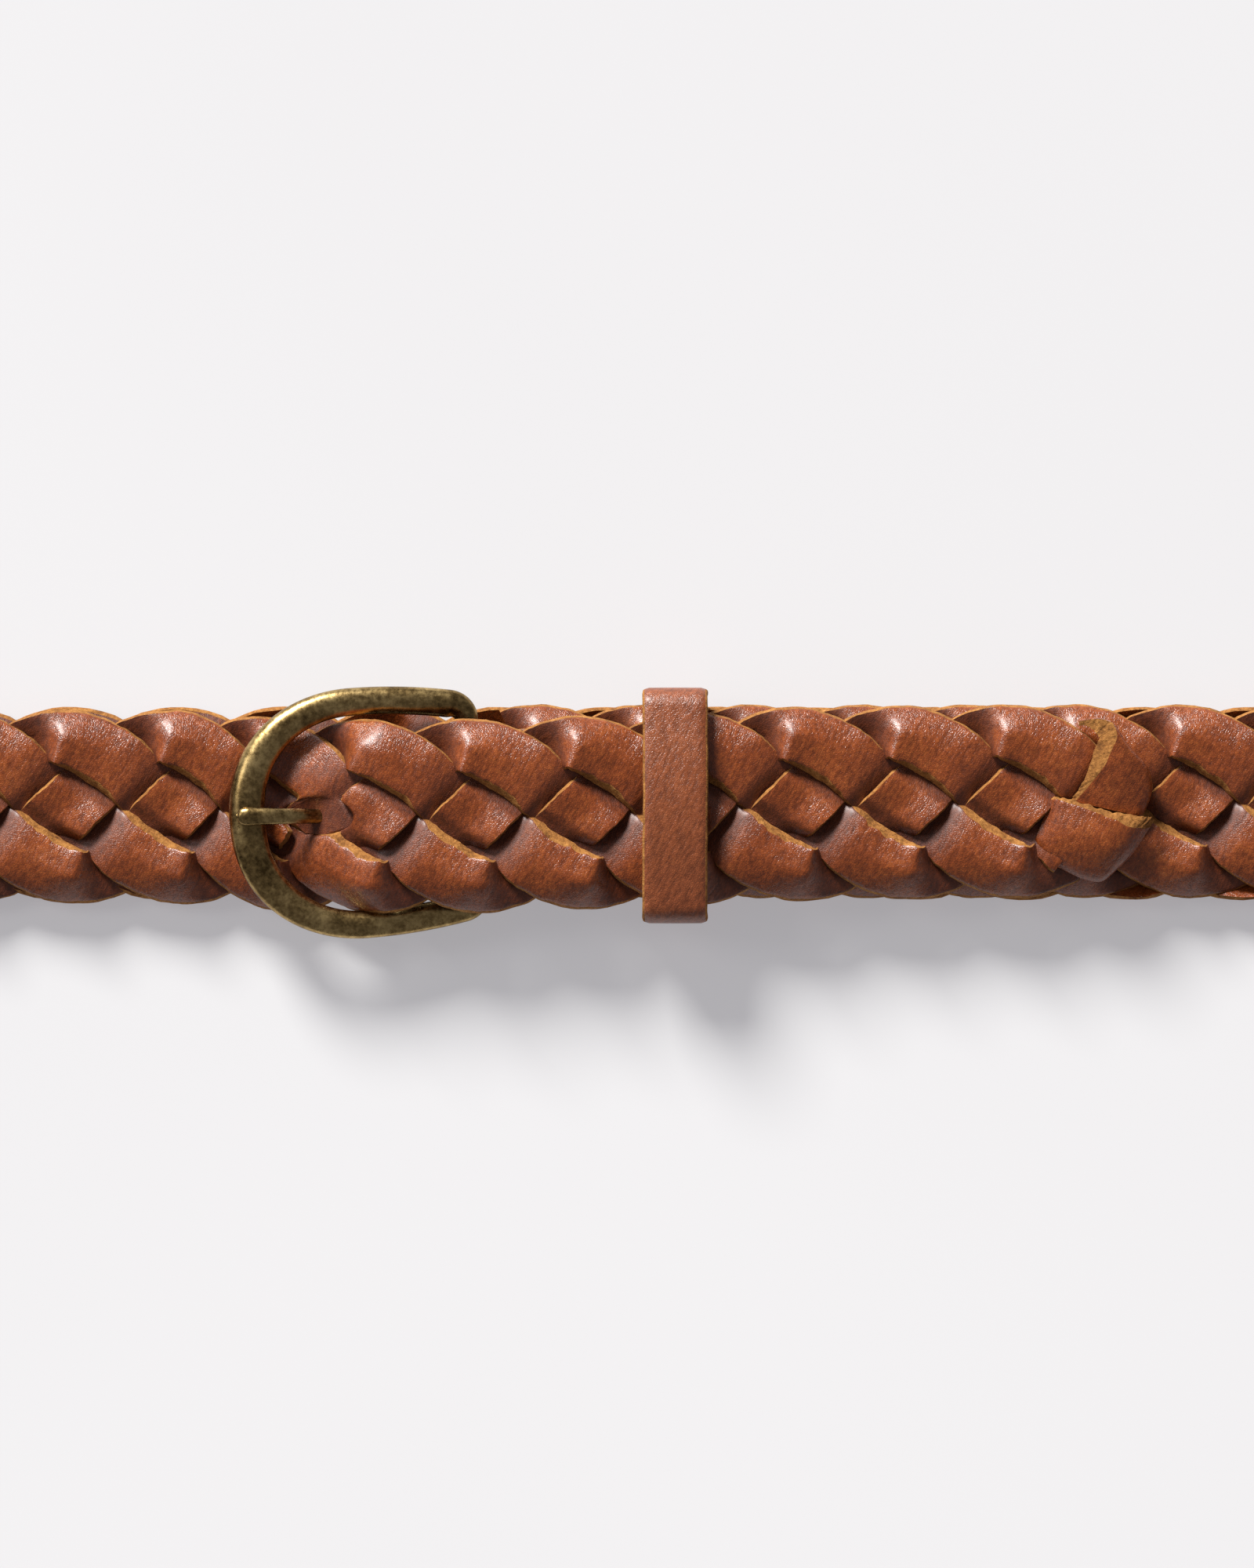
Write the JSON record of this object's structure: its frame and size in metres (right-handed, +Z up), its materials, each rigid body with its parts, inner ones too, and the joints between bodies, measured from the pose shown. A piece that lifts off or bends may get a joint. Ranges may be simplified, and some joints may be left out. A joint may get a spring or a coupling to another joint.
{
  "type": "braided leather belt, buckled",
  "caption": "Plaited leather strap closed into a flat loop by a horseshoe buckle with a prong, its free tail held by a plain leather keeper.",
  "frame": {"origin": "middle of the laid belt's box on the floor that it lies on", "axes": "+X along the strap towards the tip of the tail, +Y across the strap, +Z up from the floor through the front face of the buckle"},
  "size_m": [0.4202, 0.0487, 0.0404],
  "materials": {
    "strap_leather": "waxed brown leather with a fine grain and tan raw edges",
    "keeper_leather": "smooth satin brown leather",
    "buckle_metal": "aged brass, dark in its hollows and rubbed bright on its crown"
  },
  "bodies": {
    "root": {"strand_1_left": "strap_leather", "strand_1_right": "strap_leather", "strand_2_left": "strap_leather", "strand_2_right": "strap_leather", "strand_3_left": "strap_leather", "strand_3_right": "strap_leather", "strand_4_left": "strap_leather", "strand_4_right": "strap_leather", "bar_wrap": "strap_leather", "keeper": "keeper_leather", "buckle_frame": "buckle_metal", "prong": "buckle_metal"}
  },
  "joints": []
}
